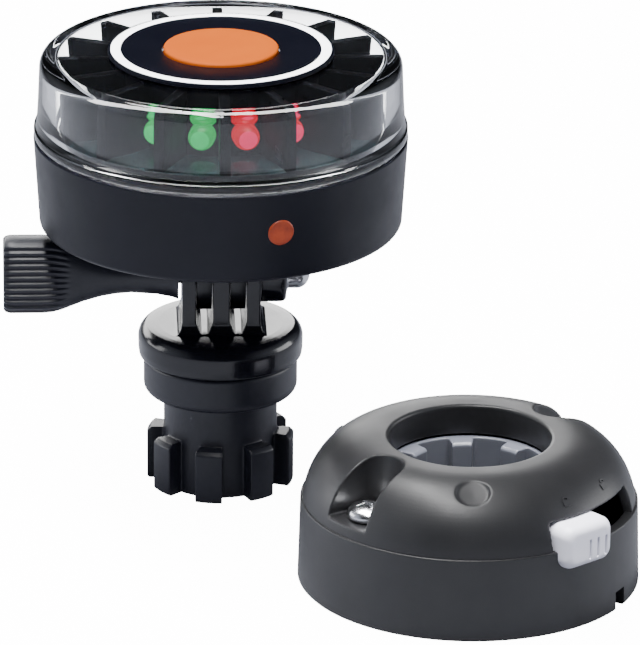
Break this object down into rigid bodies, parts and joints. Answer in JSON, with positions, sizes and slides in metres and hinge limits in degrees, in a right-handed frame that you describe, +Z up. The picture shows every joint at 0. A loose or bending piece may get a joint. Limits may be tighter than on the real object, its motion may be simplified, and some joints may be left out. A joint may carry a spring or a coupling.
{
  "type": "navigation light",
  "caption": "Portable all-round tricolour navigation light on a thumb-screw tilt fork, with its plug-in spigot and quick-release deck mount.",
  "frame": {"origin": "centre of the deck mount's flat underside, on the surface that both pieces stand on", "axes": "+Z up along the socket's axis; +Y away from the viewer's side; the light stands behind and to the -X side, its tilt axis turned 2.4 degrees about Z from +X"},
  "size_m": [0.1437, 0.1363, 0.1049],
  "materials": {
    "base_plastic": "satin moulded",
    "ring_plastic": "satin moulded",
    "lever_plastic": "satin moulded",
    "matte_black": "fine moulded texture",
    "gloss_black": "polished moulded",
    "steel": "polished stainless",
    "clear_plastic": "clear polished",
    "seal_rubber": "moulded",
    "trim_white": "printed ring",
    "button_orange": "satin moulded",
    "board_green": "solder mask",
    "led_green": "tinted clear",
    "led_red": "tinted clear",
    "led_white": "water clear",
    "cell_label": "wrapped label",
    "contact_metal": "nickel plated"
  },
  "bodies": {
    "deck_mount": {"base_skirt": "base_plastic", "base_cover": "base_plastic", "deck_screw_1": "steel", "deck_screw_2": "steel"},
    "lock_ring_body": {"lock_ring": "ring_plastic", "lever_grip_1": "lever_plastic", "lever_grip_2": "lever_plastic"},
    "adaptor": {"spigot": "matte_black", "spigot_screw": "steel", "fork_cap": "gloss_black", "cap_nut": "steel"},
    "clamp_knob": {"knob_grip": "matte_black", "clamp_screw": "steel"},
    "light_head": {"tilt_bracket": "gloss_black", "bracket_screw_1": "steel", "bracket_screw_2": "steel", "housing": "matte_black", "housing_inlay": "button_orange", "battery_tray": "matte_black", "battery_cell_1": "cell_label", "battery_cell_2": "cell_label", "battery_cell_3": "cell_label", "contact_left": "contact_metal", "contact_right": "contact_metal"},
    "lamp_top": {"lens": "clear_plastic", "lens_seal": "seal_rubber", "fin_ring": "matte_black", "led_board": "board_green", "board_screw_1": "steel", "board_screw_2": "steel", "tact_switch": "matte_black", "hub_cap": "gloss_black", "hub_trim": "trim_white", "led_01": "led_red", "led_02": "led_red", "led_03": "led_red", "led_04": "led_red", "led_05": "led_red", "led_06": "led_white", "led_07": "led_white", "led_08": "led_white", "led_09": "led_white", "led_10": "led_white", "led_11": "led_white", "led_12": "led_green", "led_13": "led_green", "led_14": "led_green", "led_15": "led_green", "led_16": "led_green"},
    "button": {"push_button": "button_orange"}
  },
  "joints": [
    {"name": "lock_turn", "type": "hinge", "parent": "deck_mount", "child": "lock_ring_body", "pos_m": [0, 0, 0.015], "axis": [0, 0, 1], "range_deg": [0, 22.5]},
    {"name": "light_lift", "type": "slide", "parent": "deck_mount", "child": "adaptor", "axis": [0, 0, 1], "range_m": [0, 0.045]},
    {"name": "knob_turn", "type": "hinge", "parent": "adaptor", "child": "clamp_knob", "pos_m": [-0.0561, 0.0559, 0.0504], "axis": [0.9991, 0.0419, 0], "continuous": true},
    {"name": "head_tilt", "type": "hinge", "parent": "adaptor", "child": "light_head", "pos_m": [-0.0561, 0.0559, 0.0504], "axis": [0.9991, 0.0419, 0], "range_deg": [-60, 60]},
    {"name": "lens_twist", "type": "hinge", "parent": "light_head", "child": "lamp_top", "pos_m": [-0.0561, 0.0559, 0.0843], "axis": [0, 0, 1], "range_deg": [0, 30]},
    {"name": "button_press", "type": "slide", "parent": "lamp_top", "child": "button", "axis": [0, 0, -1], "range_m": [0, 0.001], "stiffness_N_per_m": 2500}
  ]
}
